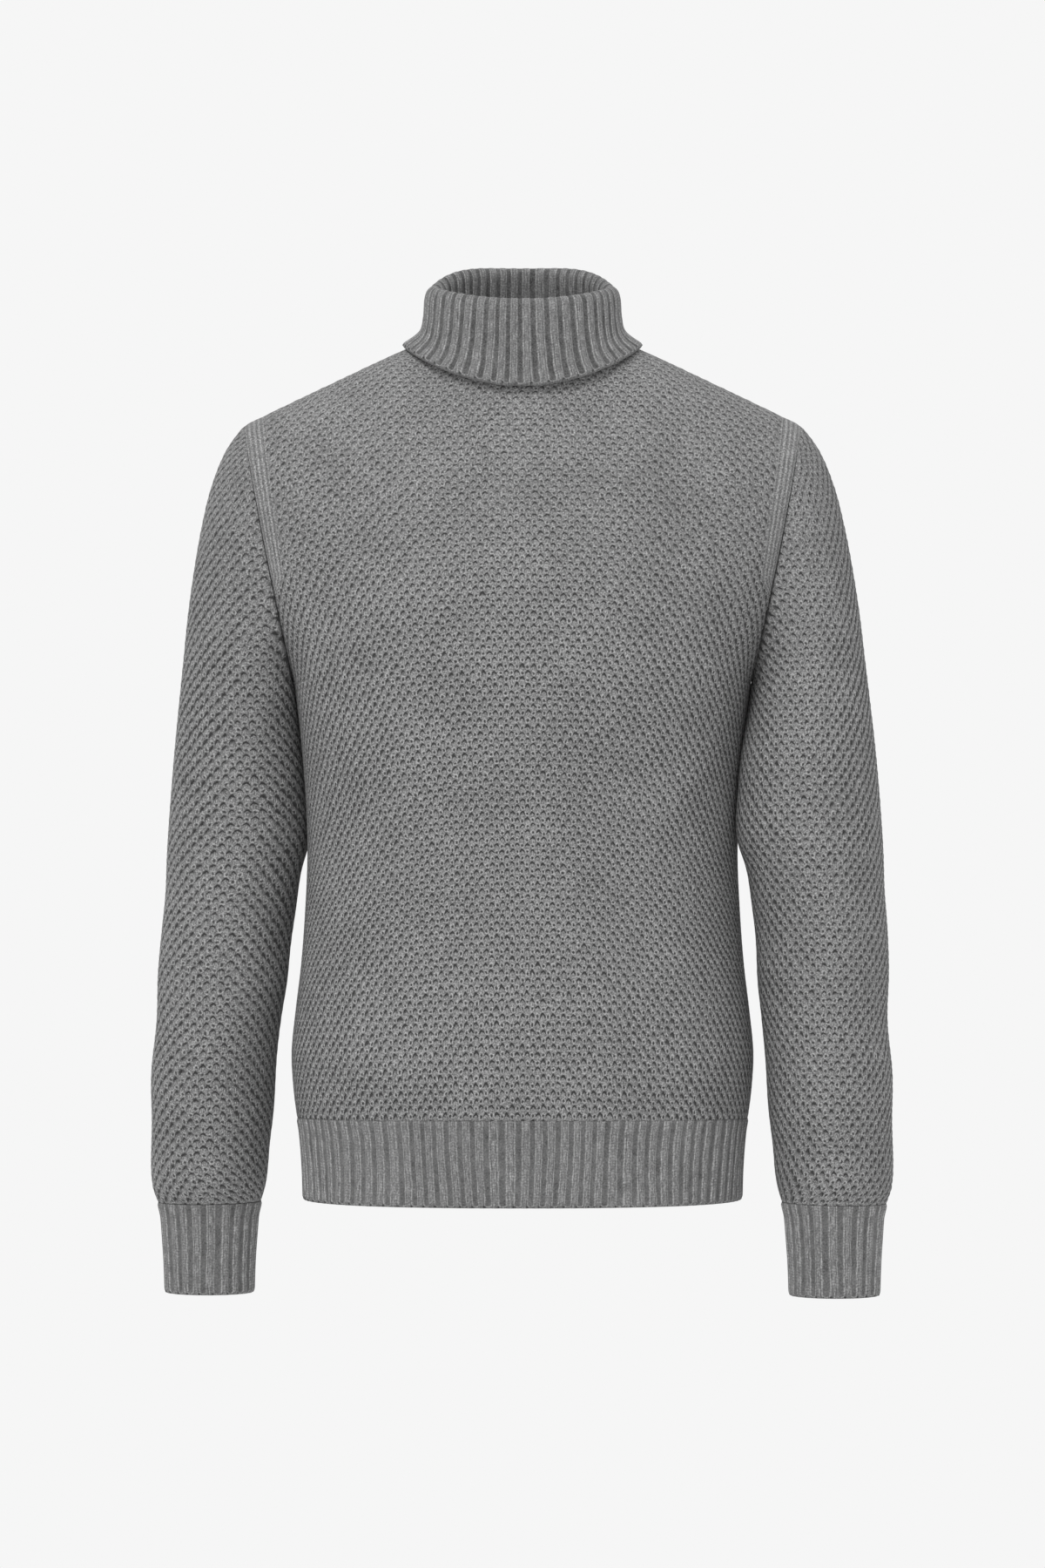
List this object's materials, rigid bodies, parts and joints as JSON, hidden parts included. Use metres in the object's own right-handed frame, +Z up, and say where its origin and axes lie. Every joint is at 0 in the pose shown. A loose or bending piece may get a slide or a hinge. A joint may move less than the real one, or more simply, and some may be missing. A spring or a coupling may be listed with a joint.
{
  "type": "rollneck sweater",
  "caption": "Men's chunky rollneck sweater in honeycomb knit, as worn: set-in sleeves, folded ribbed collar, ribbed cuffs and hem, open at neck, cuffs and hem.",
  "frame": {"origin": "the middle of the neck, level with the high points of the shoulders, where the wearer carries the sweater", "axes": "+Z up along the body, the front faces -Y, +X to the wearer's left"},
  "size_m": [0.5786, 0.2441, 0.8075],
  "materials": {
    "honeycomb_knit": "matte grey melange wool blend, honeycomb tuck stitch",
    "rib_knit": "matte grey melange wool blend, wide rib"
  },
  "bodies": {
    "root": {"front": "honeycomb_knit", "back": "honeycomb_knit", "hem_rib_front": "rib_knit", "hem_rib_back": "rib_knit", "sleeve_left": "honeycomb_knit", "cuff_left": "rib_knit", "sleeve_right": "honeycomb_knit", "cuff_right": "rib_knit", "collar": "rib_knit"}
  },
  "joints": []
}
